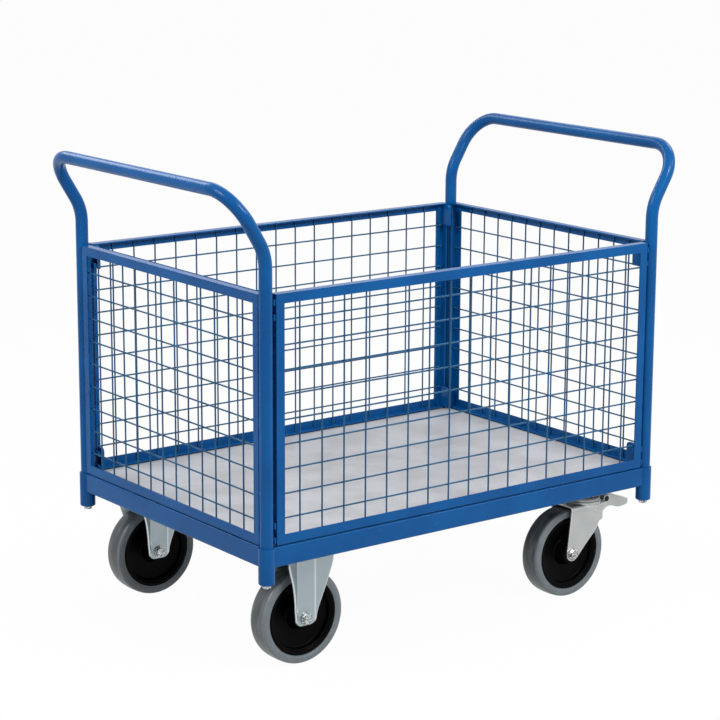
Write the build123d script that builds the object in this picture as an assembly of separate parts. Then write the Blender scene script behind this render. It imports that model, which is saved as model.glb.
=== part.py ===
import math
import os

from build123d import *

# Layout: upright centres
post_span_x = 1024
post_span_y = 690
weld_gap = 0.2

# Base rails, rectangular tube set slightly outside the upright centres
rail_height = 42
rail_width = 20
rail_wall = 2
rail_corner = 4
rail_face = 11

# Uprights, handles and the sockets that they stand in
tube_diameter = 27
tube_wall = 2
socket_wall = 3.2
socket_clearance = 0.15
socket_length = 76
socket_floor = 4
socket_chamfer = 2
knee_clearance = 78.5
handle_rise = 124
handle_overhang = 75.5
knee_radius = 100
bow_radius = 75
plug_length = 20
plug_clearance = 0.05

# Deck board and the hat-shaped beams below it
deck_thickness = 15
deck_clearance = 0.5
beam_sheet = 3
beam_lip = 20
caster_beam_width = 145
middle_beam_width = 40
screw_rows = 2
screw_row_pitch = 360
screw_diameter = 4.5
screw_head_diameter = 9
screw_head_height = 3
screw_depth = 10

# Panels: angle frames with welded wires
panel_lift = 2.5
panel_height = 505
panel_face = 9
bar_leg = 20
bar_sheet = 3
end_stile_leg = 18
side_gap = 5.5
wire_diameter = 3.5
wire_gap = 0.05
wire_end_gap = 0.5
wire_edge = 40
row_pitch = 50
end_first_row = 47
end_wire_pitch = 49.5
side_first_row = 51
side_wire_pitch = 54.25

# Hook plates on the long sides and the pins that they hang on
hook_height = 50
hook_sheet = 6
hook_groove = 3.5
hook_reach = 28.5
hook_corner = 8
hook_toe = 2
hook_flange = 19.5
hook_flange_sheet = 3.5
hook_flange_cut = 5
lug_sheet = 4
lug_height = 12
lug_outer = 8
lug_inner = 25
pin_diameter = 10
pin_offset = 18.5
pin_play = 0.3
pin_drop = 13
pin_pitch = 29.5
pin_end_gap = 0.4

# Casters
caster_inset_x = 119.5
caster_inset_y = 67
wheel_diameter = 200
tyre_width = 48
tyre_depth = 18
tyre_shoulder = 6.5
bond_gap = 0.05
rim_width = 44
rim_band = 10
rim_web = 10
rim_slope = 3
hub_diameter = 48
hub_length = 60
hub_gap = 0.4
bearing_diameter = 30
bearing_length = 56
bearing_gap = 0.05
sleeve_diameter = 20
fork_sheet = 3.5
plate_length = 140
plate_width = 114
plate_sheet = 5
plate_bolt_x = 105
plate_bolt_y = 72

# Fixed fork: straight middle panel with wings that flare out towards the plate
panel_half = 22
flare_slope = 0.72
fork_bend = 5
fork_waist_half = 25
fork_mid_half = 33.5
fork_mid_rise = 46
fork_shoulder_half = 52
fork_shoulder_drop = 22
fork_top_half = 54
fork_end_drop = 15
fork_end_radius = 14.5

# Swivel head, stacked from the tyre up to the plate
tyre_headroom = 3.5
crown_sheet = 4
crown_diameter = 80
cup_height = 8
cup_lip_wall = 3
cup_lip_height = 6
ball_diameter = 8
ball_circle = 64
ball_count = 16
swivel_gap = 0.1
race_height = 9.4
race_diameter = 72
king_pin_diameter = 14
king_collar_diameter = 26
king_collar_height = 5
collar_gap = 0.3
shaft_gap = 0.05

# Swivel fork, with the depths of its legs below the crown
swivel_trail = 58
leg_end_radius = 16.5
leg_back = 4
leg_front = 30
leg_front_depth = 42.8
leg_front_corner = 6
leg_step = 19
leg_knee = 6
leg_knee_depth = 64.5

# Brake pedal, its outline drawn from the pin
pedal_travel = 20
pedal_pin_x = 8
pedal_pin_depth = 18.5
pedal_pin_diameter = 8
pedal_pin_end = 2
pedal_boss_diameter = 16
pedal_cam_diameter = 10
brake_gap = 0.7
pedal_width = 44
pedal_length = 121
pedal_nose = 4
pedal_neck = (33, 9)
pedal_eye = (44, 17)
pedal_eye_diameter = 13
pedal_eye_wall = 2.5
pedal_tread = ((69, 22), (91, 13))
pedal_belly = ((92, -7.5), (77, -7.3), (60, -2), (34, -10))
pedal_skin = 3.5
pedal_pocket_start = 58

# Hex fasteners: shank, width across flats, head height, nut height
m10 = (10, 17, 7, 8)
m12 = (12, 18, 8, 10)
axle_flange_diameter = 26
axle_flange_height = 3
bolt_hole_play = 0.3
bolt_tail = 3

# Values that follow from the sizes above
post_x = post_span_x / 2
post_y = post_span_y / 2
posts = [(sx * post_x, sy * post_y) for sx in (-1, 1) for sy in (-1, 1)]
tube_radius = tube_diameter / 2
socket_bore = tube_radius + socket_clearance
socket_radius = socket_bore + socket_wall
axle_height = wheel_diameter / 2
crown_bottom = wheel_diameter + tyre_headroom
crown_top = crown_bottom + crown_sheet
cup_top = crown_top + cup_height
race_bottom = cup_top + ball_diameter + swivel_gap
plate_bottom = race_bottom + race_height
caster_height = plate_bottom + plate_sheet
rail_bottom = caster_height
rail_top = rail_bottom + rail_height
rail_inner_x = post_x + rail_face - rail_width
rail_inner_y = post_y + rail_face - rail_width
socket_bottom = rail_top - socket_length
tube_bottom = socket_bottom + socket_floor
deck_bottom = rail_top - deck_thickness
panel_bottom = rail_top + panel_lift
panel_top = panel_bottom + panel_height
knee_height = panel_top + knee_clearance
handle_height = knee_height + handle_rise
side_half = post_x - tube_radius - side_gap
end_half = post_y - tube_radius - weld_gap
pin_depth = panel_face + pin_offset
hook_bottoms = (panel_bottom + bar_sheet, panel_top - bar_sheet - hook_height)
caster_x = post_x - caster_inset_x
caster_y = post_y - caster_inset_y
rim_radius = wheel_diameter / 2 - tyre_depth
fork_inner = hub_length / 2 + hub_gap
fork_outer = fork_inner + fork_sheet
ends = {"front": -1, "rear": 1}


def block(x0, x1, y0, y1, z0, z1):
    centre = Pos((x0 + x1) / 2, (y0 + y1) / 2, (z0 + z1) / 2)
    return centre * Box(abs(x1 - x0), abs(y1 - y0), abs(z1 - z0))


def rod(start, end, diameter):
    start, end = Vector(start), Vector(end)
    run = end - start
    foot = (Align.CENTER, Align.CENTER, Align.MIN)
    return Plane(origin=start, z_dir=run) * Cylinder(diameter / 2, run.length, align=foot)


def hex_block(start, direction, across, height):
    face = RegularPolygon(across / 2, 6, major_radius=False)
    return Plane(origin=start, z_dir=direction) * extrude(face, height)


def slab(outline, y0, y1):
    return Pos(0, y1, 0) * Rot(90, 0, 0) * extrude(outline, y1 - y0)


def area(*points):
    return make_face(Polyline(*points, close=True))


def turned(outline):
    return revolve(Plane.YZ * outline, Axis.Y)


os.makedirs("parts", exist_ok=True)


def save(node, *pieces):
    solids = [solid for piece in pieces for solid in piece.solids()]
    shape = solids[0] if len(solids) == 1 else Compound(solids)
    export_step(shape, f"parts/{node}.step")


def bolt(seat, direction, size, grip):
    shank, across, head, _ = size
    seat, direction = Vector(seat), Vector(direction)
    return hex_block(seat, -direction, across, head) + rod(seat, seat + direction * grip, shank)


def nut(seat, direction, size):
    shank, across, _, height = size
    seat, direction = Vector(seat), Vector(direction)
    bore = rod(seat, seat + direction * height, shank + 2 * shaft_gap)
    return hex_block(seat, direction, across, height) - bore


# Rails between the sockets
def rail(half_length, face):
    outline = RectangleRounded(rail_width, rail_height, rail_corner)
    inside = offset(outline, -rail_wall)
    middle = (rail_bottom + rail_top) / 2
    tube = Plane.YZ * extrude(outline - inside, half_length, both=True)
    tube = Pos(0, -face + rail_width / 2, middle) * tube
    for side in (-1, 1):
        cope = Cylinder(socket_radius + weld_gap, 2 * rail_height)
        tube -= Pos(side * half_length, rail_face - face, middle) * cope
    return tube


long_rail = rail(post_x, post_y + rail_face)
short_rail = rail(post_y, post_x + rail_face)
save("rail_front", long_rail)
save("rail_rear", Rot(0, 0, 180) * long_rail)
save("rail_left", Rot(0, 0, -90) * short_rail)
save("rail_right", Rot(0, 0, 90) * short_rail)

# Corner sockets with a floor for the bolt
socket = rod((0, 0, socket_bottom), (0, 0, rail_top), 2 * socket_radius)
socket = chamfer(socket.edges().sort_by(Axis.Z)[0], socket_chamfer)
socket -= rod((0, 0, tube_bottom), (0, 0, rail_top), 2 * socket_bore)
socket -= rod((0, 0, socket_bottom), (0, 0, tube_bottom), m10[0] + 2 * bolt_hole_play)
for x, y in posts:
    corner = ("front" if y < 0 else "rear") + ("_left" if x < 0 else "_right")
    save(f"socket_{corner}", Pos(x, y, 0) * socket)

# Handles: one bent tube per end, with a threaded plug in each foot
foot, knee, bow = (0, 0, tube_bottom), (0, 0, knee_height), (-handle_overhang, 0, handle_height)
near = [Vector(p) + Vector(-post_x, -post_y, 0) for p in (foot, knee, bow)]
far = [Vector(p.X, -p.Y, p.Z) for p in reversed(near)]
bend_radii = [knee_radius, bow_radius, bow_radius, knee_radius]
handle_path = FilletPolyline(*near, *far, radius=bend_radii)
tube_section = Circle(tube_radius) - Circle(tube_radius - tube_wall)
handle = sweep(Plane(origin=near[0], z_dir=(0, 0, 1)) * tube_section, handle_path)
plug_top = (0, 0, tube_bottom + plug_length)
plug = rod(foot, plug_top, tube_diameter - 2 * (tube_wall + plug_clearance))
plug -= rod(foot, plug_top, m10[0] + 2 * shaft_gap)
save("handle_left", handle)
save("handle_right", Rot(0, 0, 180) * handle)
save("tube_plugs", *[Pos(x, y, 0) * plug for x, y in posts])
socket_bolt = bolt((0, 0, socket_bottom), (0, 0, 1), m10, socket_floor + plug_length)
save("socket_bolts", *[Pos(x, y, 0) * socket_bolt for x, y in posts])

# Beams between the long rails: the caster plates bolt under the wide ones, the lips carry the deck
beam_end = rail_inner_y - weld_gap


def hat_beam(width):
    half = width / 2
    rim, wall = half + beam_lip, half - beam_sheet
    top, lip, web = deck_bottom, deck_bottom - beam_sheet, rail_bottom + beam_sheet
    right = [(half, rail_bottom), (half, lip), (rim, lip), (rim, top), (wall, top), (wall, web)]
    left = [(-x, z) for x, z in reversed(right)]
    return slab(area(*right, *left), -beam_end, beam_end)


plate_bolts = [(sx * plate_bolt_x / 2, sy * plate_bolt_y / 2) for sx in (-1, 1) for sy in (-1, 1)]
caster_beam = hat_beam(caster_beam_width)
for side in ends.values():
    for x, y in plate_bolts:
        hole = Cylinder(m10[0] / 2 + bolt_hole_play, 4 * beam_sheet)
        caster_beam -= Pos(x, y + side * caster_y, rail_bottom) * hole
beams = {"caster_beam_left": -caster_x, "middle_beam": 0, "caster_beam_right": caster_x}
beam_widths = {"middle_beam": middle_beam_width}
screw_rows_y = [(i - (screw_rows - 1) / 2) * screw_row_pitch for i in range(screw_rows)]
screw_seats = []
for node, beam_x in beams.items():
    width = beam_widths.get(node, caster_beam_width)
    shape = hat_beam(width) if node in beam_widths else caster_beam
    for lip_x in (-(width + beam_lip) / 2, (width + beam_lip) / 2):
        for y in screw_rows_y:
            hole = Cylinder(screw_diameter / 2 + shaft_gap, 4 * beam_sheet)
            shape -= Pos(lip_x, y, deck_bottom) * hole
            screw_seats.append((beam_x + lip_x, y, deck_bottom - beam_sheet))
    save(node, Pos(beam_x, 0, 0) * shape)

# Deck board, notched round the sockets and screwed from below
deck_x, deck_y = rail_inner_x - deck_clearance, rail_inner_y - deck_clearance
deck = block(-deck_x, deck_x, -deck_y, deck_y, deck_bottom, rail_top)
for x, y in posts:
    deck -= Pos(x, y, deck_bottom) * Cylinder(socket_radius + deck_clearance, 4 * deck_thickness)
screws = []
for x, y, z in screw_seats:
    seat, tip = (x, y, z), (x, y, deck_bottom + screw_depth)
    deck -= rod((x, y, deck_bottom), tip, screw_diameter + 2 * shaft_gap)
    head = rod((x, y, z - screw_head_height), seat, screw_head_diameter)
    screws.append(head + rod(seat, tip, screw_diameter))
save("deck_board", deck)
save("deck_screws", *screws)


# Panels, drawn with the outer face on y = 0, facing the front
def angle_bar(length, leg, other_leg):
    half, inner = length / 2, length / 2 - other_leg
    face = block(-half, half, 0, bar_sheet, -leg, 0)
    lip = block(-half, half, 0, bar_leg, -bar_sheet, 0)
    mitre = slab(area((-half, 0), (half, 0), (inner, -leg), (-inner, -leg)), 0, bar_leg)
    return (face + lip) & mitre


def panel_frame(half, stile_leg):
    cross_bar = angle_bar(2 * half, bar_leg, stile_leg)
    stile = angle_bar(panel_height, stile_leg, bar_leg)
    middle = (panel_top + panel_bottom) / 2
    top = Pos(0, 0, panel_top) * cross_bar
    bottom = Pos(0, 0, panel_bottom) * Rot(0, 180, 0) * cross_bar
    stiles = [Pos(side * half, 0, middle) * Rot(0, 90 * side, 0) * stile for side in (-1, 1)]
    return [top, bottom, *stiles]


def wire_mesh(half, pitch, first_row):
    upright_y = bar_sheet + wire_gap + wire_diameter / 2
    row_y = upright_y + wire_diameter + wire_gap
    low, high = panel_bottom + bar_sheet + wire_end_gap, panel_top - bar_sheet - wire_end_gap
    upright_count = int(2 * (half - wire_edge) // pitch) + 1
    row_count = int((panel_height - first_row - bar_leg - wire_diameter / 2) // row_pitch) + 1
    uprights = [(i - (upright_count - 1) / 2) * pitch for i in range(upright_count)]
    rows = [panel_bottom + first_row + i * row_pitch for i in range(row_count)]
    wires = [rod((x, upright_y, low), (x, upright_y, high), wire_diameter) for x in uprights]
    return wires + [rod((-half, row_y, z), (half, row_y, z), wire_diameter) for z in rows]


def set_panel(turn, distance, pieces):
    return [Rot(0, 0, turn) * Pos(0, -distance, 0) * piece for piece in pieces]


end_frame = panel_frame(end_half, end_stile_leg)
end_row_half = end_half - bar_sheet - wire_end_gap
end_mesh = wire_mesh(end_row_half, end_wire_pitch, end_first_row)
for name, turn in (("left", -90), ("right", 90)):
    save(f"end_frame_{name}", *set_panel(turn, post_x + panel_face, end_frame))
    save(f"end_mesh_{name}", *set_panel(turn, post_x + panel_face, end_mesh))


# Hook plate: a slot open at the bottom drops over two pins, a flange lies behind the stile
def hook_plate(bottom, side):
    top, reach = bottom + hook_height, panel_face + hook_reach
    outline = area((bar_sheet, bottom), (reach, bottom), (reach, top), (bar_sheet, top))
    outline = fillet(outline.vertices().group_by(Axis.X)[-1].sort_by(Axis.Y)[-1], hook_corner)
    outline = fillet(outline.vertices().group_by(Axis.X)[-1].sort_by(Axis.Y)[0], hook_toe)
    play, seat = pin_diameter / 2 + pin_play, top - pin_drop
    near, far = pin_depth - play, pin_depth + play
    slot = area((near, bottom), (far, bottom), (far, seat), (near, seat))
    slot += Pos(pin_depth, seat) * Circle(play)
    face = side_half - bar_sheet
    plate = Pos(face - hook_sheet, 0, 0) * (Plane.YZ * extrude(outline, hook_sheet))
    plate -= Pos(face - hook_groove, 0, 0) * (Plane.YZ * extrude(slot, hook_groove))
    inner = side_half - hook_flange
    cut = inner + hook_flange_cut
    low, high = bottom + hook_flange_cut, top - hook_flange_cut
    flange = area((face, bottom), (cut, bottom), (inner, low), (inner, high), (cut, top), (face, top))
    plate += slab(flange, bar_sheet, bar_sheet + hook_flange_sheet)
    return plate if side > 0 else mirror(plate, Plane.YZ)


hook_plates = [hook_plate(bottom, side) for bottom in hook_bottoms for side in (-1, 1)]
side_frame = panel_frame(side_half, bar_leg)
side_row_half = side_half - bar_sheet - hook_sheet - wire_end_gap
side_mesh = wire_mesh(side_row_half, side_wire_pitch, side_first_row)
for name, turn in (("front", 0), ("rear", 180)):
    save(f"side_frame_{name}", *set_panel(turn, post_y + panel_face, side_frame))
    save(f"side_mesh_{name}", *set_panel(turn, post_y + panel_face, side_mesh))
    save(f"hook_plates_{name}", *set_panel(turn, post_y + panel_face, hook_plates))

# Lugs on the sides of the uprights, each with a pin
pins, lugs = [], []
upper_pins = [bottom + hook_height - pin_drop for bottom in hook_bottoms]
pin_heights = upper_pins + [z - pin_pitch for z in upper_pins]
lug_far = post_x - tube_radius - weld_gap
lug_near = lug_far - lug_sheet
pin_tip = side_half - bar_sheet - hook_groove + pin_end_gap
lug_y = (panel_face - lug_outer, panel_face + lug_inner)
for side in (-1, 1):
    for z in pin_heights:
        lug_z = (z - lug_height / 2, z + lug_height / 2)
        lug = block(side * lug_far, side * lug_near, *lug_y, *lug_z)
        pin = rod((side * lug_near, pin_depth, z), (side * pin_tip, pin_depth, z), pin_diameter)
        for turn in (0, 180):
            lugs += set_panel(turn, post_y + panel_face, [lug])
            pins += set_panel(turn, post_y + panel_face, [pin])
save("hook_lugs", *lugs)
save("hook_pins", *pins)


# Wheel, drawn round the Y axis: tyre, rim, bearing
def both_sides(half_profile):
    return half_profile + [(-y, r) for y, r in reversed(half_profile)]


band_inner, hub_radius = rim_radius - rim_band, hub_diameter / 2
bearing_inner, bearing_outer = sleeve_diameter / 2 + bearing_gap, bearing_diameter / 2
rim_profile = [
    (rim_width / 2, rim_radius),
    (rim_width / 2, band_inner + rim_slope),
    (rim_web / 2, band_inner - rim_slope),
    (rim_web / 2, hub_radius + rim_slope),
    (hub_length / 2, hub_radius - rim_slope),
    (hub_length / 2, bearing_outer + bearing_gap),
]
tyre_profile = [(tyre_width / 2, wheel_diameter / 2), (tyre_width / 2, rim_radius + bond_gap)]
bearing_profile = [(bearing_length / 2, bearing_outer), (bearing_length / 2, bearing_inner)]
rim = turned(area(*both_sides(rim_profile)))
tyre_area = area(*both_sides(tyre_profile))
tyre = turned(fillet(tyre_area.vertices().group_by(Axis.Y)[-1], tyre_shoulder))
bearing = turned(area(*both_sides(bearing_profile)))
sleeve = rod((0, -fork_inner, 0), (0, fork_inner, 0), sleeve_diameter)
sleeve -= rod((0, -fork_inner, 0), (0, fork_inner, 0), m12[0] + 2 * shaft_gap)
axle_bolt = bolt((0, -fork_outer, 0), (0, 1, 0), m12, 2 * fork_outer + m12[3] + bolt_tail)
axle_bolt += rod((0, -fork_outer, 0), (0, -fork_outer - axle_flange_height, 0), axle_flange_diameter)
axle_nut = nut((0, fork_outer, 0), (0, 1, 0), m12)
nut_flange = rod((0, fork_outer, 0), (0, fork_outer + axle_flange_height, 0), axle_flange_diameter)
axle_nut += nut_flange - rod((0, 0, 0), (0, 2 * fork_outer, 0), m12[0] + 2 * shaft_gap)
for end, side in ends.items():
    for name, x in (("left", -caster_x), ("right", caster_x - swivel_trail)):
        centre = Pos(x, side * caster_y, axle_height)
        save(f"rim_{end}_{name}", centre * rim)
        save(f"tyre_{end}_{name}", centre * tyre)
        save(f"wheel_bearing_{end}_{name}", centre * bearing)

# Fixed fork, pressed with its plate
flare = math.atan(flare_slope)
wing_reach = fork_outer + (fork_top_half - panel_half) * flare_slope
knee_inner = panel_half + fork_sheet * math.tan(flare / 2)
wing_inner = wing_reach - fork_sheet / math.cos(flare)
wing_outer_edge, knee_outer_edge = (fork_top_half, wing_reach), (panel_half, fork_outer)
wing_inner_edge, knee_inner_edge = (fork_top_half, wing_inner), (knee_inner, fork_inner)
outer_line = [wing_outer_edge, knee_outer_edge]
inner_line = [wing_inner_edge, knee_inner_edge]
outer_line += [(-x, y) for x, y in reversed(outer_line)]
inner_line += [(-x, y) for x, y in reversed(inner_line)]
section = area(*outer_line, *reversed(inner_line))
section = fillet([v for v in section.vertices() if abs(v.X) < fork_waist_half], fork_bend)
fork_end = axle_height - fork_end_drop
leg_profile = [
    (fork_top_half, plate_bottom),
    (fork_shoulder_half, plate_bottom - fork_shoulder_drop),
    (fork_mid_half, axle_height + fork_mid_rise),
    (fork_waist_half, axle_height),
    (fork_waist_half, fork_end),
]
leg_outline = area(*both_sides(leg_profile))
leg_outline = fillet(leg_outline.vertices().group_by(Axis.Y)[0], fork_end_radius)
leg = Pos(0, 0, fork_end) * extrude(section, plate_bottom - fork_end)
leg &= slab(leg_outline, 0, wing_reach)
plate_x, plate_y = plate_length / 2, plate_width / 2
top_plate = block(-plate_x, plate_x, -plate_y, plate_y, plate_bottom, caster_height)
for x, y in plate_bolts:
    top_plate -= Pos(x, y, plate_bottom) * Cylinder(m10[0] / 2 + bolt_hole_play, 4 * plate_sheet)
axle_hole = rod((0, -fork_outer, axle_height), (0, fork_outer, axle_height), m12[0] + 2 * bolt_hole_play)
fixed_fork = top_plate + leg + Rot(0, 0, 180) * leg - axle_hole
fixed = [Pos(-caster_x, side * caster_y, 0) for side in ends.values()]
for end, place in zip(ends, fixed):
    save(f"fixed_fork_{end}", place * fixed_fork)
lift = Pos(0, 0, axle_height)
save("fixed_axle_bolts", *[place * lift * axle_bolt for place in fixed])
save("fixed_axle_nuts", *[place * lift * axle_nut for place in fixed])
save("fixed_axle_sleeves", *[place * lift * sleeve for place in fixed])

# Bolts and nuts of all four caster plates
plate_grip = plate_sheet + beam_sheet + m10[3] + bolt_tail
plate_bolt = bolt((0, 0, plate_bottom), (0, 0, 1), m10, plate_grip)
plate_nut = nut((0, 0, caster_height + beam_sheet), (0, 0, 1), m10)
casters = [(x, side * caster_y) for x in (-caster_x, caster_x) for side in ends.values()]
bolt_places = [Pos(cx + x, cy + y, 0) for cx, cy in casters for x, y in plate_bolts]
save("caster_bolts", *[place * plate_bolt for place in bolt_places])
save("caster_nuts", *[place * plate_nut for place in bolt_places])

# Swivel head: plate with upper race, king pin, balls
swivel_plate = top_plate + rod((0, 0, race_bottom), (0, 0, plate_bottom), race_diameter)
swivel_plate -= rod((0, 0, race_bottom), (0, 0, caster_height), king_pin_diameter + 2 * shaft_gap)
collar_top = crown_bottom - collar_gap
king_pin = rod((0, 0, collar_top), (0, 0, caster_height), king_pin_diameter)
king_pin += rod((0, 0, collar_top - king_collar_height), (0, 0, collar_top), king_collar_diameter)
ball_z = (race_bottom + cup_top) / 2
ring = PolarLocations(ball_circle / 2, ball_count)
balls = [Pos(0, 0, ball_z) * place * Sphere(ball_diameter / 2) for place in ring]

# Swivel fork: folded over the wheel, with slanted legs and the lower ball cup on top
back, front_bottom = -swivel_trail - leg_back, crown_top - leg_front_depth
hub_ring = Pos(-swivel_trail, axle_height) * Circle(leg_end_radius)
step_edge = [(leg_step, crown_top), (leg_step, front_bottom), (leg_knee, crown_top - leg_knee_depth)]
upper = area((back, crown_top), *step_edge)
front_lug = area((0, crown_top), (leg_front, crown_top), (leg_front, front_bottom), (0, front_bottom))
lug_corner = front_lug.vertices().group_by(Axis.X)[-1].sort_by(Axis.Y)[0]
leg_outline = make_hull(hub_ring.edges() + upper.edges()) + fillet(lug_corner, leg_front_corner)
swivel_fork = slab(leg_outline, -fork_outer, fork_outer)
swivel_fork = fillet(swivel_fork.edges().filter_by(Axis.X).group_by(Axis.Z)[-1], fork_bend)
swivel_fork -= block(-plate_length, plate_length, -fork_inner, fork_inner, 0, crown_bottom)
swivel_fork += rod((0, 0, crown_bottom), (0, 0, cup_top), crown_diameter)
lip_ends = (0, 0, cup_top), (0, 0, cup_top + cup_lip_height)
swivel_fork += rod(*lip_ends, crown_diameter) - rod(*lip_ends, crown_diameter - 2 * cup_lip_wall)
swivel_fork -= rod((0, 0, crown_bottom), (0, 0, cup_top), king_pin_diameter + 2 * shaft_gap)
swivel_fork -= Pos(-swivel_trail, 0, 0) * axle_hole
pedal_pin_height = crown_top - pedal_pin_depth
pedal_place = Pos(pedal_pin_x, 0, pedal_pin_height)
pin_end_y = fork_outer + pedal_pin_end
pin_ends = (0, -pin_end_y, 0), (0, pin_end_y, 0)
swivel_fork -= pedal_place * rod(*pin_ends, pedal_pin_diameter + 2 * shaft_gap)
pedal_pin = pedal_place * rod(*pin_ends, pedal_pin_diameter)

# Brake pedal: boss with a cam that turns onto the tyre, an eye, and a hollow tread with a round tip
boss_radius, cam_radius = pedal_boss_diameter / 2, pedal_cam_diameter / 2
wheel_run, wheel_drop = -swivel_trail - pedal_pin_x, axle_height - pedal_pin_height
cam_reach = math.hypot(wheel_run, wheel_drop) - wheel_diameter / 2 - brake_gap - cam_radius
cam_angle = math.atan2(wheel_drop, wheel_run) + math.radians(pedal_travel)
cam = Pos(cam_reach * math.cos(cam_angle), cam_reach * math.sin(cam_angle)) * Circle(cam_radius)
eye_radius = pedal_eye_diameter / 2 + pedal_eye_wall
eye_x, eye_z = pedal_eye
nose_x = pedal_length - pedal_nose
tread_line = Spline((eye_x, eye_z + eye_radius), *pedal_tread, (nose_x, pedal_nose))
belly_line = Spline((nose_x, -pedal_nose), *pedal_belly)
nose_line = Line((nose_x, pedal_nose), (nose_x, -pedal_nose))
arm_line = Polyline(pedal_belly[-1], (0, -boss_radius), (0, boss_radius), pedal_neck, tread_line @ 0)
lever = make_face([*tread_line.edges(), *nose_line.edges(), *belly_line.edges(), *arm_line.edges()])
lever += Pos(nose_x, 0) * Circle(pedal_nose) + Pos(eye_x, eye_z) * Circle(eye_radius)
half_pedal = pedal_width / 2
pedal = slab(Circle(boss_radius) + cam + lever, -half_pedal, half_pedal)
tip_centre = pedal_length - half_pedal
plan = Pos(tip_centre, 0) * Circle(half_pedal)
plan_length = tip_centre + pedal_boss_diameter
plan += Pos(tip_centre - plan_length / 2, 0) * Rectangle(plan_length, pedal_width)
pedal &= Pos(0, 0, -pedal_width) * extrude(plan, 2 * pedal_width)
half_pocket = half_pedal - pedal_skin
pocket = block(pedal_pocket_start, tip_centre, -half_pocket, half_pocket, -pedal_width, pedal_width)
pedal -= slab(Pos(0, -pedal_skin) * lever, -half_pedal, half_pedal) & pocket
pedal -= Pos(eye_x, 0, eye_z) * rod(*pin_ends, pedal_eye_diameter)
pedal -= rod(*pin_ends, pedal_pin_diameter + 2 * shaft_gap)
pedal = pedal_place * pedal

swivels = {end: Pos(caster_x, side * caster_y, 0) for end, side in ends.items()}
for end, place in swivels.items():
    save(f"swivel_plate_{end}", place * swivel_plate)
    save(f"swivel_fork_{end}", place * swivel_fork)
    axle = place * Pos(-swivel_trail, 0, axle_height)
    save(f"swivel_axle_{end}", axle * axle_bolt, axle * axle_nut, axle * sleeve)
    save(f"pedal_pin_{end}", place * pedal_pin)
    save(f"brake_pedal_{end}", place * pedal)
save("king_pins", *[place * king_pin for place in swivels.values()])
save("swivel_balls", *[place * ball for place in swivels.values() for ball in balls])
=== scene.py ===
import math

import bmesh
import bpy
from mathutils import Matrix, Vector


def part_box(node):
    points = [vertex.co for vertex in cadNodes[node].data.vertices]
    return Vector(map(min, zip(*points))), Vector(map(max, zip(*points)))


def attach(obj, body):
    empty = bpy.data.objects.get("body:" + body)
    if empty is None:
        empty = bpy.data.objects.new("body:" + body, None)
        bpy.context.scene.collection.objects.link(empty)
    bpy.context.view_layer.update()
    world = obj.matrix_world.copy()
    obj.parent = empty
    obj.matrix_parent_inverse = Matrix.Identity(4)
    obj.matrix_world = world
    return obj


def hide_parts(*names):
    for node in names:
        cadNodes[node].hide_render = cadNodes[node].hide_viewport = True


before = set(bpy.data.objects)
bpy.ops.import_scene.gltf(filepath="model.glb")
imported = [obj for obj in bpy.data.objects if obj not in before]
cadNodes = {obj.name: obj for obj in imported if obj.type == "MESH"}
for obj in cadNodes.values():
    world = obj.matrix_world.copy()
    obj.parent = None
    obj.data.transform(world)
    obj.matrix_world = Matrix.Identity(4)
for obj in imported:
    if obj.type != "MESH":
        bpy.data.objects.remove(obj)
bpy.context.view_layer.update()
mm = 0.001


def tint(red, green, blue):   # screen colour 0-255 to the linear value that shaders use
    parts = [part / 255 for part in (red, green, blue)]
    return tuple(p / 12.92 if p <= 0.04045 else ((p + 0.055) / 1.055) ** 2.4 for p in parts) + (1.0,)


class Flow:   # one socket of a shader, so that masks read as plain sums
    def __init__(self, graph, socket):
        self.graph = graph
        self.socket = socket

    def __add__(self, other):
        return self.graph.maths("ADD", self, other)

    def __radd__(self, other):
        return self.graph.maths("ADD", other, self)

    def __sub__(self, other):
        return self.graph.maths("SUBTRACT", self, other)

    def __rsub__(self, other):
        return self.graph.maths("SUBTRACT", other, self)

    def __mul__(self, other):
        return self.graph.maths("MULTIPLY", self, other)

    def __rmul__(self, other):
        return self.graph.maths("MULTIPLY", other, self)


class Graph:   # the nodes of one shader tree
    def __init__(self, tree):
        self.tree = tree

    def node(self, kind, settings=None, sockets=None, out=0):
        made = self.tree.nodes.new(kind)
        for key, value in (settings or {}).items():
            setattr(made, key, value)
        for key, value in (sockets or {}).items():
            self.feed(made.inputs[key], value)
        return Flow(self, made.outputs[out])

    def feed(self, socket, value):
        if isinstance(value, Flow):
            self.tree.links.new(value.socket, socket)
        else:
            socket.default_value = value

    def maths(self, operation, a, b):
        return self.node("ShaderNodeMath", {"operation": operation}, {0: a, 1: b})

    def seen(self):   # 1 for what the camera, a mirror or a glass looks at
        rays = ("Is Camera Ray", "Is Glossy Ray", "Is Transmission Ray")
        camera, mirror, glass = [self.node("ShaderNodeLightPath", out=ray) for ray in rays]
        return camera + mirror + glass


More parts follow.
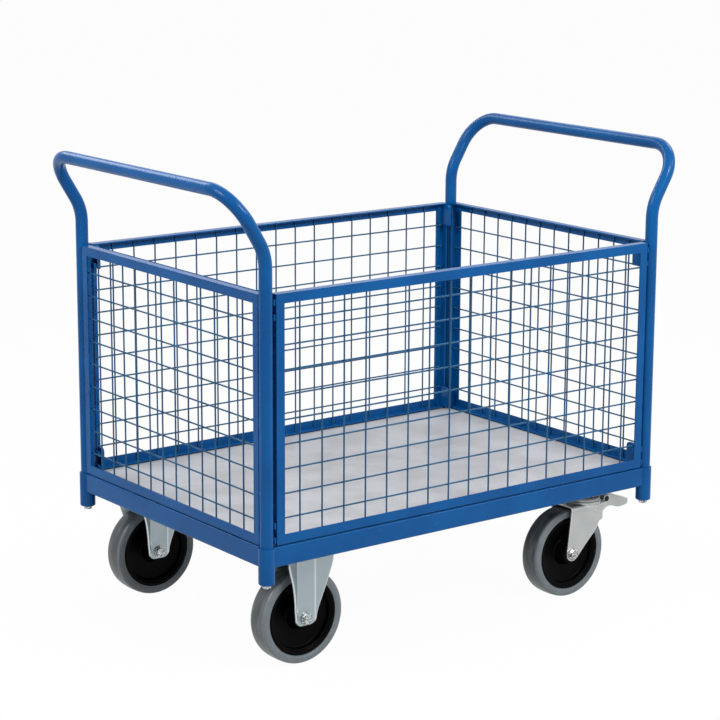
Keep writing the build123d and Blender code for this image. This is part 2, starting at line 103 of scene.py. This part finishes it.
class Finish(Graph):   # one procedural material
    def __init__(self, name):
        self.material = bpy.data.materials.new(name)
        self.material.use_nodes = True
        super().__init__(self.material.node_tree)
        self.shader = self.tree.nodes["Principled BSDF"]
        self.spot = self.node("ShaderNodeTexCoord", out="Object")

    def noise(self, size, detail, stretch=None):   # size is the width of one blotch in metres
        spot = self.spot
        if stretch:
            spot = self.node("ShaderNodeVectorMath", {"operation": "MULTIPLY"}, {0: spot, 1: stretch})
        sockets = {"Vector": spot, "Scale": 1 / size, "Detail": detail}
        return self.node("ShaderNodeTexNoise", None, sockets)

    def cells(self, size):
        return self.node("ShaderNodeTexVoronoi", None, {"Vector": self.spot, "Scale": 1 / size})

    def between(self, value, low, high):   # smooth step from 0 to 1
        sockets = {"Value": value, "From Min": low, "From Max": high}
        return self.node("ShaderNodeMapRange", {"interpolation_type": "SMOOTHSTEP"}, sockets)

    def layer(self, mask, under, over):   # sockets 0, 6 and 7 are a colour Mix's factor and colours
        return self.node("ShaderNodeMix", {"data_type": "RGBA"}, {0: mask, 6: under, 7: over}, 2)

    def bump(self, height, depth):
        return self.node("ShaderNodeBump", None, {"Height": height, "Distance": depth}, "Normal")

    def dress(self, sockets):
        for key, value in sockets.items():
            self.feed(self.shader.inputs[key], value)
        return self.material


finishes = {}   # a noise below is its blotch width, its detail and, where it is drawn out, its stretch

# Powder coat: orange peel, soft cloudy tone, a few dull rub marks
coats = {
    "blue_powder_coat": {"colour": tint(8, 84, 146), "deep": tint(7, 76, 136), "gloss": 0.2},
    "blue_wire": {"colour": tint(42, 90, 126), "deep": tint(37, 82, 117), "gloss": 0.3},
    "blue_underframe": {"colour": tint(10, 66, 120), "deep": tint(8, 54, 104), "gloss": 0.42},
}
coatGrain = {"cloud": (0.12, 3.0), "clouds": (0.35, 0.65), "rub": (0.035, 6.0), "rubs": (0.58, 0.75),
             "rubRise": 0.16, "peel": (0.0011, 1.0), "peelRise": 0.03, "peelDepth": 0.00001,
             "specular": 0.13}


def powderCoat(name, coat):
    paint = Finish(name)
    cloud = paint.between(paint.noise(*coatGrain["cloud"]), *coatGrain["clouds"])
    rub = paint.between(paint.noise(*coatGrain["rub"]), *coatGrain["rubs"])
    peel = paint.noise(*coatGrain["peel"])
    return paint.dress({
        "Base Color": paint.layer(cloud, coat["colour"], coat["deep"]),
        "Roughness": coat["gloss"] + rub * coatGrain["rubRise"] + peel * coatGrain["peelRise"],
        "Normal": paint.bump(peel, coatGrain["peelDepth"]),
        "Specular IOR Level": coatGrain["specular"],
    })


for name, coat in coats.items():
    finishes[name] = powderCoat(name, coat)

# Deck laminate: fine speckle over a cloudy pale grey, long dull scuffs
deckLook = {"colour": tint(180, 182, 187), "dark": tint(167, 168, 171), "fleck": tint(150, 149, 152),
            "cloud": (0.09, 4.0), "clouds": (0.35, 0.68), "speckle": (0.0035, 2.0),
            "speckles": (0.6, 0.72), "fleckShare": 0.5, "fleckPolish": 0.06, "fleckDepth": 0.00004,
            "scuff": (0.02, 5.0, (0.12, 1.0, 1.0)), "scuffs": (0.56, 0.72), "scuffRise": 0.2,
            "gloss": 0.42, "specular": 0.15}


def deckLaminate():
    board = Finish("deck_laminate")
    cloud = board.between(board.noise(*deckLook["cloud"]), *deckLook["clouds"])
    flecks = board.between(board.noise(*deckLook["speckle"]), *deckLook["speckles"])
    scuffs = board.between(board.noise(*deckLook["scuff"]), *deckLook["scuffs"])
    base = board.layer(cloud, deckLook["colour"], deckLook["dark"])
    dull = deckLook["gloss"] + scuffs * deckLook["scuffRise"]
    return board.dress({
        "Base Color": board.layer(flecks * deckLook["fleckShare"], base, deckLook["fleck"]),
        "Roughness": dull - flecks * deckLook["fleckPolish"],
        "Normal": board.bump(flecks, deckLook["fleckDepth"]),
        "Specular IOR Level": deckLook["specular"],
    })


finishes["deck_laminate"] = deckLaminate()

# Tyre rubber: satin side wall; the tread darkened with painted shade; lighter patches on it that are
# partly dust and partly painted highlight streaks
# painted shade: the tread colour is the rubber darkened; the lighter patch colour is partly dust, partly
# painted highlight
rubberLook = {"colour": tint(108, 116, 121), "deep": tint(99, 107, 112), "tread": tint(62, 68, 70),
              "dustAndSheenTint": tint(108, 115, 117), "bloom": (0.03, 4.0), "blooms": (0.35, 0.7),
              "patch": (0.014, 5.0, (0.25, 1.0, 0.25)), "patches": (0.42, 0.68), "dustAndSheenShare": 0.7,
              "dustAndSheenRise": 0.12, "grain": (0.0009, 2.0), "grainRise": 0.08, "grainDepth": 0.00006,
              "gloss": 0.3, "specular": 0.45}


def tyreRubber():
    rubber = Finish("grey_rubber")
    bloom = rubber.between(rubber.noise(*rubberLook["bloom"]), *rubberLook["blooms"])
    grain = rubber.noise(*rubberLook["grain"])
    tread = rubber.node("ShaderNodeAttribute", {"attribute_name": "tread"}, None, "Fac")
    # partly dust, partly painted highlight: lighter streaky patches on the tread
    dustAndSheen = rubber.between(rubber.noise(*rubberLook["patch"]), *rubberLook["patches"]) * tread
    wall = rubber.layer(bloom, rubberLook["colour"], rubberLook["deep"])
    # painted shade: the tread takes the darker colour, lightened in the patches
    shadedTread = rubber.layer(dustAndSheen * rubberLook["dustAndSheenShare"], rubberLook["tread"], rubberLook["dustAndSheenTint"])
    dull = rubberLook["gloss"] + grain * rubberLook["grainRise"]
    return rubber.dress({
        "Base Color": rubber.layer(tread, wall, shadedTread),
        "Roughness": dull + dustAndSheen * rubberLook["dustAndSheenRise"],
        "Normal": rubber.bump(grain, rubberLook["grainDepth"]),
        "Specular IOR Level": rubberLook["specular"],
    })


finishes["grey_rubber"] = tyreRubber()

# Rim: black moulded plastic with a fine spark-eroded texture
rimLook = {"colour": tint(2, 2, 2), "pale": tint(8, 8, 8), "texture": 0.0008, "textureDepth": 0.00003,
           "haze": (0.025, 4.0), "hazes": (0.45, 0.75), "hazeShare": 0.5, "hazeRise": 0.14,
           "gloss": 0.34, "specular": 0.04}


def rimPlastic():
    plastic = Finish("black_rim")
    texture = plastic.cells(rimLook["texture"])
    haze = plastic.between(plastic.noise(*rimLook["haze"]), *rimLook["hazes"])
    return plastic.dress({
        "Base Color": plastic.layer(haze * rimLook["hazeShare"], rimLook["colour"], rimLook["pale"]),
        "Roughness": rimLook["gloss"] + haze * rimLook["hazeRise"],
        "Normal": plastic.bump(texture, rimLook["textureDepth"]),
        "Specular IOR Level": rimLook["specular"],
    })


finishes["black_rim"] = rimPlastic()

# Zinc: drawing marks, a cooler blue tint at the fixed casters that is a painted reflection, painted
# highlights on bends and rims, painted shade on the swivel lips, dark specks on fasteners that are painted
# reflections
zincs = {
    "zinc_sheet": {"cool": tint(159, 172, 177), "warm": tint(182, 185, 184),
                   "gloss": 0.3, "markSize": 0.004, "reflectionSpeck": 0.0},
    "zinc_fastener": {"cool": tint(208, 212, 211), "warm": tint(214, 214, 210),
                      "gloss": 0.2, "markSize": 0.003, "reflectionSpeck": 0.75},
    "bright_steel": {"cool": tint(174, 178, 180), "warm": tint(182, 183, 182),
                     "gloss": 0.22, "markSize": 0.002, "reflectionSpeck": 0.0},
}
zincGrain = {"shade": tint(150, 158, 161), "bright": tint(232, 238, 238), "dark": tint(62, 66, 68),
             "lipShadeTint": tint(24, 27, 25), "cloud": (0.035, 4.0), "clouds": (0.35, 0.68), "cloudShare": 0.22,
             "cloudRise": 0.04, "mark": (4.0, (1.0, 1.0, 0.1)), "markRise": 0.08, "reflectionSpecks": (0.45, 0.62),
             "grain": (0.0006, 2.0), "grainDepth": 0.00003, "highlightGloss": 0.12, "metal": 0.88,
             "lipShadeMetalDrop": 0.6, "lipShadeRoughRise": 0.2, "endSpan": 0.05}


def platedSteel(name, zinc):
    steel = Finish(name)
    cloud = steel.between(steel.noise(*zincGrain["cloud"]), *zincGrain["clouds"])
    marks = steel.noise(zinc["markSize"], *zincGrain["mark"])
    grain = steel.noise(*zincGrain["grain"])
    # painted reflection: dark specks on the fasteners stand in for dark surroundings mirrored in the
    # facets
    reflectionSpecks = steel.between(steel.cells(zinc["markSize"]), *zincGrain["reflectionSpecks"]) * zinc["reflectionSpeck"]
    # painted highlight: brighter, glossier zinc along bends, shoulders and side rims
    paintedHighlight = steel.node("ShaderNodeAttribute", {"attribute_name": "paintedHighlight"}, None, "Fac")
    # painted shade: dark, duller zinc on the swivel cups' upper lips
    lipShade = steel.node("ShaderNodeAttribute", {"attribute_name": "lipShade"}, None, "Fac")
    across = steel.node("ShaderNodeSeparateXYZ", None, {0: steel.spot})
    swivelEnd = steel.between(across, -zincGrain["endSpan"], zincGrain["endSpan"])
    base = steel.layer(swivelEnd, zinc["cool"], zinc["warm"])   # the swivel casters are the warmer pair; the fixed pair's cooler tint is a painted reflection
    base = steel.layer(cloud * zincGrain["cloudShare"], base, zincGrain["shade"])
    base = steel.layer(reflectionSpecks, base, zincGrain["dark"])
    base = steel.layer(paintedHighlight, base, zincGrain["bright"])
    dull = zinc["gloss"] + marks * zincGrain["markRise"] + cloud * zincGrain["cloudRise"]
    return steel.dress({
        "Base Color": steel.layer(lipShade, base, zincGrain["lipShadeTint"]),
        "Metallic": zincGrain["metal"] - lipShade * zincGrain["lipShadeMetalDrop"],
        "Roughness": dull - paintedHighlight * zincGrain["highlightGloss"] + lipShade * zincGrain["lipShadeRoughRise"],
        "Normal": steel.bump(grain + marks + reflectionSpecks, zincGrain["grainDepth"]),
    })


for name, zinc in zincs.items():
    finishes[name] = platedSteel(name, zinc)
print("finishes made:", len(finishes))

# Carried-over solids: softened edges and their finish
softEdges = {"weld": 0.002 * mm, "flat": math.radians(0.2), "sharp": math.radians(28), "width": 0.6 * mm,
             "segments": 2}
edgeWidths = {"rail": 0.5 * mm, "deck": 0.8 * mm, "brake_pedal": 2.4 * mm}
plainNodes = ("end_mesh", "side_mesh", "swivel_balls", "handle")   # round all over
shownElsewhere = ("tyre", "rim", "fixed_fork", "swivel_fork")   # the pieces below replace these


def soften(node, width):
    weld = node.modifiers.new("weld", "WELD")
    weld.merge_threshold = softEdges["weld"]
    flat = node.modifiers.new("flat", "DECIMATE")
    flat.decimate_type = "DISSOLVE"
    flat.angle_limit = softEdges["flat"]
    edge = node.modifiers.new("edge", "BEVEL")
    edge.limit_method = "ANGLE"
    edge.angle_limit = softEdges["sharp"]
    edge.width = width
    edge.segments = softEdges["segments"]
    shade = node.modifiers.new("shade", "WEIGHTED_NORMAL")
    shade.keep_sharp = True


def edgeWidth(name):
    widths = [edgeWidths[start] for start in edgeWidths if name.startswith(start)]
    return widths[0] if widths else softEdges["width"]


for name, node in cadNodes.items():
    for place in node.material_slots:
        place.material = finishes[place.material.name.split(".")[0]]
    if not name.startswith(plainNodes + shownElsewhere):
        soften(node, edgeWidth(name))
print("solids dressed:", len(cadNodes))


def rounded(points, steps=5):   # closed outline of (y, r, fillet) corners to plain (y, r) points
    made = []
    count = len(points)
    for i, (y, r, fillet) in enumerate(points):
        corner = Vector((y, r))
        if not fillet:
            made.append(corner)
            continue
        before = (Vector(points[i - 1][:2]) - corner).normalized()
        after = (Vector(points[(i + 1) % count][:2]) - corner).normalized()
        half = before.angle(after) / 2
        reach = fillet / math.tan(half)
        centre = corner + (before + after).normalized() * (fillet / math.sin(half))
        start, end = corner + before * reach - centre, corner + after * reach - centre
        turn = start.angle_signed(end)
        for step in range(steps + 1):
            angle = -turn * step / steps
            spun = Matrix.Rotation(angle, 2) @ start
            made.append(centre + spun)
    return made


def settle(name, builder, finish, sharp=40):   # mesh object with smooth faces and crisp corners
    bmesh.ops.recalc_face_normals(builder, faces=builder.faces)
    mesh = bpy.data.meshes.new(name)
    builder.to_mesh(mesh)
    builder.free()
    mesh.materials.append(finishes[finish])
    mesh.shade_smooth()
    mesh.set_sharp_from_angle(angle=math.radians(sharp))
    piece = bpy.data.objects.new(name, mesh)
    bpy.context.collection.objects.link(piece)
    return piece


def mask(piece, name, values):   # one value per vertex, for the finish to read
    marks = piece.data.attributes.new(name, "FLOAT", "POINT")
    marks.data.foreach_set("value", values)


def lathe(outline, place, steps=120):   # outline of (y, r) in mm turned round the Y axis
    builder = bmesh.new()
    rings = []
    for step in range(steps):
        angle = 2 * math.pi * step / steps
        spoke = Vector((math.sin(angle), 0, math.cos(angle)))
        spots = [spoke * r + Vector((0, y, 0)) for y, r in outline]
        rings.append([builder.verts.new(place @ (spot * mm)) for spot in spots])
    for ring, following in zip(rings, rings[1:] + rings[:1]):
        for i in range(len(outline)):
            builder.faces.new((ring[i - 1], ring[i], following[i], following[i - 1]))
    return builder


def bothFaces(half):   # half an outline from the outside in, mirrored to the wheel's other face
    return half + [(-y, r, fillet) for y, r, fillet in reversed(half)]


# Wheels: crowned tyre with a bead and a parting line, dished rim
tyreShape = bothFaces([
    (0.5, 100, 0.0), (8, 99.9, 0.0), (16.3, 99.4, 0.0), (24, 98.6, 5.4), (23.8, 86.6, 1.2),
    (23, 85.4, 0.8), (22.6, 82.05, 0.0),
])
rimShape = bothFaces([
    (22, 82, 0.5), (22.2, 75, 1.6), (19.5, 73.5, 1.5), (18.6, 70, 2.0), (9.5, 67.4, 3.0), (7, 52, 4.0),
    (5.4, 30.5, 3.5), (27.5, 22.6, 1.0), (30, 21.4, 0.8), (30, 15.05, 0.0),
])
tyreTread = {"full": 16.4 * mm, "none": 18.2 * mm}   # half widths that the tread's painted shade fills and ends at

sides = {"front": -1, "rear": 1}
for end in sides:
    for side in ("left", "right"):
        low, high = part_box(f"tyre_{end}_{side}")
        centre = (low + high) / 2
        axle = Matrix.Translation(centre)
        tyre = settle(f"solid_tyre_{end}_{side}", lathe(rounded(tyreShape), axle), "grey_rubber")
        span = tyreTread["none"] - tyreTread["full"]
        offsets = [abs(vertex.co.y - centre.y) for vertex in tyre.data.vertices]
        # painted shade: the tread mask, full across the middle and fading out at the shoulders
        mask(tyre, "tread", [min(max((tyreTread["none"] - offset) / span, 0), 1) for offset in offsets])
        rim = settle(f"dished_rim_{end}_{side}", lathe(rounded(rimShape), axle), "black_rim")
        for piece, node in ((tyre, f"tyre_{end}_{side}"), (rim, f"rim_{end}_{side}")):
            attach(piece, f"wheel_{end}_{side}")
            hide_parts(node)
print("wheels turned")


# sheet metal panel on rows of (z, left, right); face gives its depth and gleam its painted highlight at
# (x, z)
def pressing(builder, rows, columns, sheet, face, gleam, place):
    probe = 0.05   # mm to either side, for the slope of the face
    shine = builder.verts.layers.float["paintedHighlight"]
    outer, inner = [], []
    for z, left, right in rows:
        outerRow, innerRow = [], []
        for column in range(columns + 1):
            x = left + (right - left) * column / columns
            y = face(x, z)
            lean = (face(x + probe, z) - face(x - probe, z)) / (2 * probe)
            scale = sheet / math.hypot(1, lean)
            outerRow.append(builder.verts.new(place @ (Vector((x, -y, z)) * mm)))
            innerRow.append(builder.verts.new(place @ (Vector((x + lean * scale, scale - y, z)) * mm)))
            # painted highlight: full on the side rims, the gleam's amount elsewhere
            outerRow[-1][shine] = 1.0 if column in (0, columns) else gleam(x, z)
        outer.append(outerRow)
        inner.append(innerRow)
    for grid in (outer, inner):
        for row, above in zip(grid, grid[1:]):
            for k in range(columns):
                builder.faces.new((row[k], row[k + 1], above[k + 1], above[k]))
    rims = [(outer[0], inner[0]), (outer[-1], inner[-1])]
    rims += [([row[k] for row in outer], [row[k] for row in inner]) for k in (0, -1)]
    for near, far in rims:
        for k in range(len(near) - 1):
            builder.faces.new((near[k], near[k + 1], far[k + 1], far[k]))


def flatPlate(builder, outline, low, high, place):
    rings = []
    for z in (low, high):
        rings.append([builder.verts.new(place @ (Vector((x, y, z)) * mm)) for x, y in outline])
        builder.faces.new(rings[-1])
    lower, upper = rings
    for k in range(len(outline)):
        builder.faces.new((lower[k - 1], lower[k], upper[k], upper[k - 1]))


cutEdges = {"sharp": math.radians(50), "segments": 2}


def crisp(piece, width):   # small rounding on folded and cut edges
    edge = piece.modifiers.new("edge", "BEVEL")
    edge.limit_method = "ANGLE"
    edge.angle_limit = cutEdges["sharp"]
    edge.width = width * mm
    edge.segments = cutEdges["segments"]


# Fixed forks: flat middle panel, wings that grow towards the plate, painted highlights on the rims and
# bends
forkShape = {"panel": 22, "bend": 3.2, "sheet": 3.5, "face": 33.9, "end": 85, "corner": 14, "top": 233,
             "plate": 238, "plateSize": (70, 57, 9), "columns": 60, "rows": 40, "cornerRows": 8,
             "fold": 1.8, "foldShine": 0.8, "edge": 0.7}
wings = [   # height, half width and how far the rim stands out
    (85, 24.5, 1.8), (100, 24.5, 2.2), (117, 27.2, 4.4), (145, 33.0, 11.0), (174, 40.2, 17.0),
    (192, 45.6, 19.2), (208, 50.6, 20.4), (223, 54.0, 21.0), (233, 54.6, 21.2),
]


def along(points, at):   # smooth curve through rows of numbers, read at a first number
    last = len(points) - 2
    i = next((k for k in range(last + 1) if at <= points[k + 1][0]), last)
    before, start, end, after = [points[min(max(k, 0), last + 1)] for k in (i - 1, i, i + 1, i + 2)]
    span = end[0] - start[0]
    t = (at - start[0]) / span
    read = []
    for a, b, c, d in zip(before[1:], start[1:], end[1:], after[1:]):
        leave = (c - a) / (end[0] - before[0]) * span
        reach = (d - b) / (after[0] - start[0]) * span
        bow = 3 * (c - b) - 2 * leave - reach
        twist = leave + reach - 2 * (c - b)
        read.append(b + t * leave + t * t * bow + t ** 3 * twist)
    return read


def forkRows():   # heights and edges, with the rounded corners of the free end
    corner, low = forkShape["corner"], forkShape["end"]
    count, cornerCount = forkShape["rows"], forkShape["cornerRows"]
    rows = []
    for step in range(cornerCount + 1):
        angle = math.pi / 2 * step / cornerCount
        rows.append((low + corner * (1 - math.cos(angle)), corner * (1 - math.sin(angle))))
    low += corner
    rows += [(low + (forkShape["top"] - low) * step / count, 0) for step in range(1, count + 1)]
    halves = [(z, along(wings, z)[0] - trim) for z, trim in rows]
    return [(z, -half, half) for z, half in halves]


def forkFace(x, z):
    full, stand = along(wings, z)
    reach = abs(x) - forkShape["panel"]
    bent = (reach + math.hypot(reach, forkShape["bend"])) / 2
    return forkShape["face"] + stand / (full - forkShape["panel"]) * bent


def forkGleam(x, z):
    return max(1 - abs(abs(x) - forkShape["panel"]) / forkShape["fold"], 0) * forkShape["foldShine"]


for end in sides:
    low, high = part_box(f"fixed_fork_{end}")
    place = Matrix.Translation(((low.x + high.x) / 2, (low.y + high.y) / 2, 0))
    columns, sheet = forkShape["columns"], forkShape["sheet"]
    builder = bmesh.new()
    builder.verts.layers.float.new("paintedHighlight")
    for angle in (0, math.pi):
        facing = place @ Matrix.Rotation(angle, 4, "Z")
        pressing(builder, forkRows(), columns, sheet, forkFace, forkGleam, facing)
    x, y, corner = forkShape["plateSize"]
    plate = rounded([(x, y, corner), (-x, y, corner), (-x, -y, corner), (x, -y, corner)])
    flatPlate(builder, plate, forkShape["top"], forkShape["plate"], place)
    fork = settle(f"pressed_fork_{end}", builder, "zinc_sheet")
    crisp(fork, forkShape["edge"])
    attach(fork, "chassis")
    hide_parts(f"fixed_fork_{end}")
print("fixed forks pressed")

# Swivel forks: slanted legs drawn out to the round ball cup, lip darkened with painted shade, painted
# highlight along the shoulder, riveted pedal pin
swivelShape = {"sheet": 3.5, "face": 33.9, "columns": 48, "step": 2.5, "snap": 0.001, "drawn": 40.2,
               "drawnFrom": 108, "drawnBlend": 1.0, "shoulder": 7, "shoulderShine": 0.2, "lip": 212.4,
               "crown": (-62, 30, 27, 203.5, 207.5), "rivet": (8, 189), "rivetSteps": 40, "edge": 0.6}
legOutline = rounded([
    (-62, 207.5, 0), (38, 207.5, 0), (38, 196, 3), (30, 186, 4), (30, 164.7, 6), (19, 164.7, 2),
    (6, 143, 3), (-80.1, 53, 16.5),
])
cupOutline = rounded([
    (204, 7.2, 0), (204, 40, 1.5), (212, 40, 3.6), (212, 38, 0), (221.5, 38, 0.6), (221.5, 36.6, 0.6),
    (215.5, 36.6, 0), (215.5, 7.2, 0),
])
rivetOutline = rounded([(-3, 0.4, 0), (-3, 5.4, 0), (0.3, 5.4, 0.3), (1.3, 4.4, 0.6), (1.3, 0.4, 0)])


def legRows():   # edges of the leg's outline at every height
    heights = sorted({round(z, 3) for x, z in legOutline})
    for low, high in list(zip(heights, heights[1:])):
        count = int((high - low) / swivelShape["step"])
        heights += [low + (high - low) * (k + 1) / (count + 1) for k in range(count)]
    snap = swivelShape["snap"]
    rows = []
    for z in sorted(heights):
        hits = []
        for a, b in zip(legOutline, legOutline[1:] + legOutline[:1]):
            if min(a.y, b.y) - snap <= z <= max(a.y, b.y) + snap:
                level = abs(b.y - a.y) < 2 * snap
                hits += [a.x, b.x] if level else [a.x + (b.x - a.x) * (z - a.y) / (b.y - a.y)]
        rows.append((z, min(hits), max(hits)))
    return rows


def legFace(x, z):
    top = swivelShape["crown"][-1]
    share = min(max((z - swivelShape["drawnFrom"]) / (top - swivelShape["drawnFrom"]), 0), 1)
    drawn = math.sqrt(max(swivelShape["drawn"] ** 2 - x * x, 0)) - swivelShape["face"]
    drawn = (drawn + math.hypot(drawn, swivelShape["drawnBlend"])) / 2
    rise = max(z - top + swivelShape["shoulder"], 0)
    shoulder = swivelShape["shoulder"] - math.sqrt(max(swivelShape["shoulder"] ** 2 - rise * rise, 0))
    return swivelShape["face"] + drawn * share * share * (3 - 2 * share) - shoulder


def legGleam(x, z):
    bentFrom = swivelShape["crown"][-1] - swivelShape["shoulder"]
    return swivelShape["shoulderShine"] if z > bentFrom else 0.0


for end in sides:
    low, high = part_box(f"swivel_plate_{end}")
    place = Matrix.Translation(((low.x + high.x) / 2, (low.y + high.y) / 2, 0))
    columns, sheet = swivelShape["columns"], swivelShape["sheet"]
    builder = lathe(cupOutline, place @ Matrix.Rotation(math.pi / 2, 4, "X"))
    builder.verts.layers.float.new("paintedHighlight")
    for side in (1, -1):
        facing = place @ Matrix.Diagonal((1, side, 1, 1))
        pressing(builder, legRows(), columns, sheet, legFace, legGleam, facing)
    left, right, deep, under, top = swivelShape["crown"]
    flatPlate(builder, [(left, deep), (right, deep), (right, -deep), (left, -deep)], under, top, place)
    fork = settle(f"pressed_swivel_fork_{end}", builder, "zinc_sheet")
    # painted shade: every vertex above the lip height is darkened
    mask(fork, "lipShade", [float(vertex.co.z > swivelShape["lip"] * mm) for vertex in fork.data.vertices])
    crisp(fork, swivelShape["edge"])
    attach(fork, f"swivel_{end}")
    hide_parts(f"swivel_fork_{end}")
    x, z = swivelShape["rivet"]
    for name, side in sides.items():
        spot = Vector((x, legFace(x, z) * side, z)) * mm
        facing = place @ Matrix.Translation(spot) @ Matrix.Diagonal((1, side, 1, 1))
        head = lathe(rivetOutline, facing, swivelShape["rivetSteps"])
        rivet = settle(f"pedal_rivet_{end}_{name}", head, "zinc_sheet")
        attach(rivet, f"swivel_{end}")
print("swivel forks pressed")

# Weld beads: seams of the rails on the sockets, tacks of the end frames on the uprights
weld = {"seam": 2.1, "tack": 2.4, "tackLength": 26, "ripple": 0.14, "pitch": 2.6, "pitchRings": 4,
        "fewestRings": 8, "sides": 8, "tip": 0.35, "crease": 60, "railRise": (243, 275),
        "railEnd": (498.9, 355.4), "endRail": (522.4, 331.9), "stile": (518.2, 332.9),
        "tacks": (300, 532, 768)}


def bead(builder, spot, low, high, radius):   # upright bead of overlapping ripples with rounded ends
    count = max(int((high - low) / weld["pitch"] * weld["pitchRings"]), weld["fewestRings"])
    rings = []
    for step in range(count + 1):
        share = step / count
        swell = 1 + weld["ripple"] * math.sin(share * count / weld["pitchRings"] * 2 * math.pi)
        taper = min(1, weld["tip"] + min(share, 1 - share) * (high - low) / (radius * 2))
        ring = []
        for k in range(weld["sides"]):
            angle = 2 * math.pi * k / weld["sides"]
            turned = Vector((math.cos(angle), math.sin(angle), 0)) * radius * swell * taper
            ring.append(builder.verts.new((Vector((*spot, low + (high - low) * share)) + turned) * mm))
        rings.append(ring)
    for ring, above in zip(rings, rings[1:]):
        for k in range(weld["sides"]):
            builder.faces.new((ring[k - 1], ring[k], above[k], above[k - 1]))
    builder.faces.new(rings[0])
    builder.faces.new(rings[-1])


builder = bmesh.new()
for x, y in [(x, y) for x in (-1, 1) for y in (-1, 1)]:
    for seam in ("railEnd", "endRail"):
        bead(builder, (weld[seam][0] * x, weld[seam][1] * y), *weld["railRise"], weld["seam"])
    for z in weld["tacks"]:
        half = weld["tackLength"] / 2
        bead(builder, (weld["stile"][0] * x, weld["stile"][1] * y), z - half, z + half, weld["tack"])
beads = settle("weld_beads", builder, "blue_powder_coat", weld["crease"])
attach(beads, "chassis")
print("seams welded")

# Studio: pale floor that stays white to the camera and keeps the shadow
studio = {"floorReach": 24.0, "floor": 0.7, "fibre": 0.68, "grain": (0.004, 3.0), "roughness": 0.9,
          "glow": 0.97, "sky": 0.2, "aim": (0, 0, 0.45)}
white = (1.0, 1.0, 1.0, 1.0)


def studioFloor():
    builder = bmesh.new()
    reach = studio["floorReach"]
    corners = [(-reach, -reach), (reach, -reach), (reach, reach), (-reach, reach)]
    builder.faces.new([builder.verts.new((x, y, 0)) for x, y in corners])
    mesh = bpy.data.meshes.new("studio_floor")
    builder.to_mesh(mesh)
    builder.free()
    floor = bpy.data.objects.new("studio_floor", mesh)
    bpy.context.collection.objects.link(floor)
    paper = Finish("studio_floor")
    plain, fibre = [(shade, shade, shade, 1.0) for shade in (studio["floor"], studio["fibre"])]
    base = paper.layer(paper.noise(*studio["grain"]), plain, fibre)
    paper.dress({"Base Color": base, "Roughness": studio["roughness"], "Specular IOR Level": 0.0})
    glow = paper.node("ShaderNodeEmission", None, {"Color": white, "Strength": 1.0})
    lit = Flow(paper, paper.shader.outputs[0])
    mixed = paper.node("ShaderNodeMixShader", None, {0: paper.seen() * studio["glow"], 1: lit, 2: glow})
    paper.feed(paper.tree.nodes["Material Output"].inputs["Surface"], mixed)
    mesh.materials.append(paper.material)


def studioSky():
    world = bpy.data.worlds.new("studio")
    world.use_nodes = True
    bpy.context.scene.world = world
    sky = Graph(world.node_tree)
    lit = sky.node("ShaderNodeBackground", None, {"Color": white, "Strength": studio["sky"]})
    shown = sky.node("ShaderNodeBackground", None, {"Color": white, "Strength": 1.0})
    mixed = sky.node("ShaderNodeMixShader", None, {0: sky.seen(), 1: lit, 2: shown})
    sky.feed(sky.tree.nodes["World Output"].inputs["Surface"], mixed)


lamps = {
    "key": {"spot": (0.3, -2.7, 2.9), "size": 1.2, "power": 100},
    "side": {"spot": (2.5, -2.4, 2.9), "size": 0.8, "power": 24},
    "left": {"spot": (-2.7, 0.1, 2.7), "size": 1.2, "power": 66},
    "right": {"spot": (2.4, 2.4, 3.2), "size": 1.6, "power": 14},
    "back": {"spot": (-0.7, 2.8, 2.9), "size": 1.4, "power": 38},
    "far": {"spot": (2.7, 0.3, 2.9), "size": 1.2, "power": 24},
}


def hang(name, lamp):
    light = bpy.data.lights.new(name, "AREA")
    light.shape = "SQUARE"
    light.size = lamp["size"]
    light.energy = lamp["power"]
    hung = bpy.data.objects.new(name, light)
    hung.location = lamp["spot"]
    hung.visible_camera = False
    aim = Vector(studio["aim"]) - hung.location
    hung.rotation_euler = aim.to_track_quat("-Z", "Y").to_euler()
    bpy.context.collection.objects.link(hung)


studioFloor()
studioSky()
for name, lamp in lamps.items():
    hang(name, lamp)
print("studio set")

# Camera at the photograph's angle
eye = {"spot": (-3.0149, -3.9488, 1.6552), "turn": -37.161, "rise": 12.79, "roll": 0.27,
       "lens": 116.236, "sensor": 36, "sight": 200}
lens = bpy.data.cameras.new("camera")
lens.lens = eye["lens"]
lens.sensor_width = eye["sensor"]
lens.clip_end = eye["sight"]
camera = bpy.data.objects.new("camera", lens)
turn, tilt, roll = [math.radians(angle) for angle in (eye["turn"], 90 - eye["rise"], eye["roll"])]
turned = Matrix.Rotation(turn, 4, "Z") @ Matrix.Rotation(tilt, 4, "X") @ Matrix.Rotation(roll, 4, "Z")
camera.matrix_world = Matrix.Translation(eye["spot"]) @ turned
bpy.context.collection.objects.link(camera)
bpy.context.scene.camera = camera
bpy.context.scene.view_settings.view_transform = "Standard"
print("camera placed")
